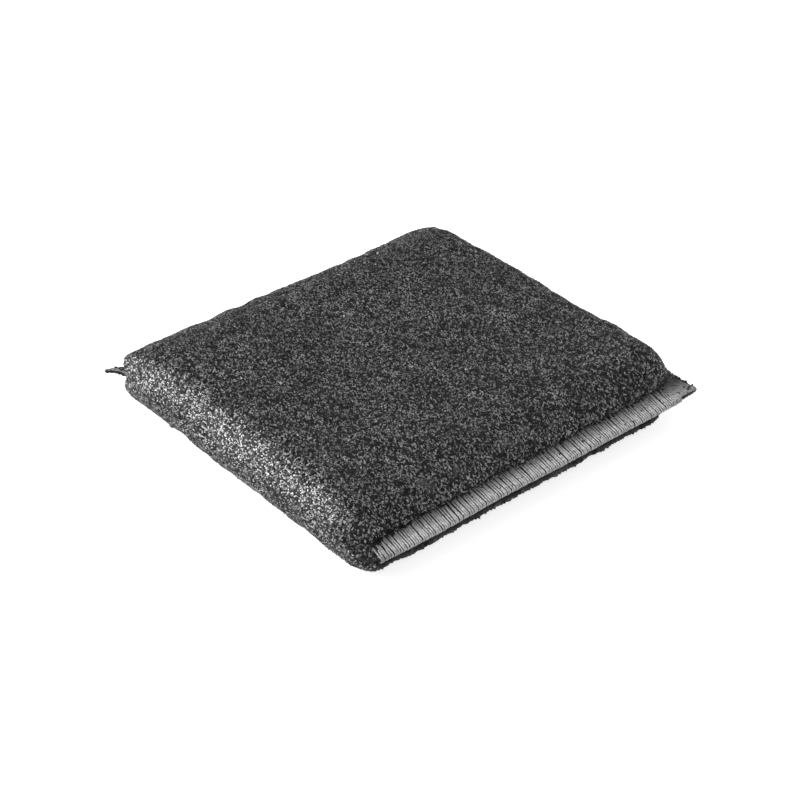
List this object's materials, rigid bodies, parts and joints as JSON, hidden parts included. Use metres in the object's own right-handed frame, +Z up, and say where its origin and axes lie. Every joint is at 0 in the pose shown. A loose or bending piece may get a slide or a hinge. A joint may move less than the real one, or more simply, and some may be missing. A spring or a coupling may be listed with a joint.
{
  "type": "scouring sponge",
  "caption": "Flat square scouring sponge: a foam block in a tube of dark knitted metallised cloth, overlocked shut at both ends.",
  "frame": {"origin": "on the surface the pad lies on, under the middle of its bounding box", "axes": "+X along the knitted tube towards the front seam, +Y along the seams from fold to fold, +Z up out of the top face"},
  "size_m": [0.1016, 0.106, 0.016],
  "materials": {
    "foam": "open-cell soft foam",
    "scouring_cloth": "coarse knit with metallised film yarn, glinting",
    "seam_thread": "spun thread, satin"
  },
  "bodies": {
    "root": {"foam_core": "foam", "scouring_cover": "scouring_cloth", "front_seam_thread": "seam_thread", "rear_seam_thread": "seam_thread"}
  },
  "joints": []
}
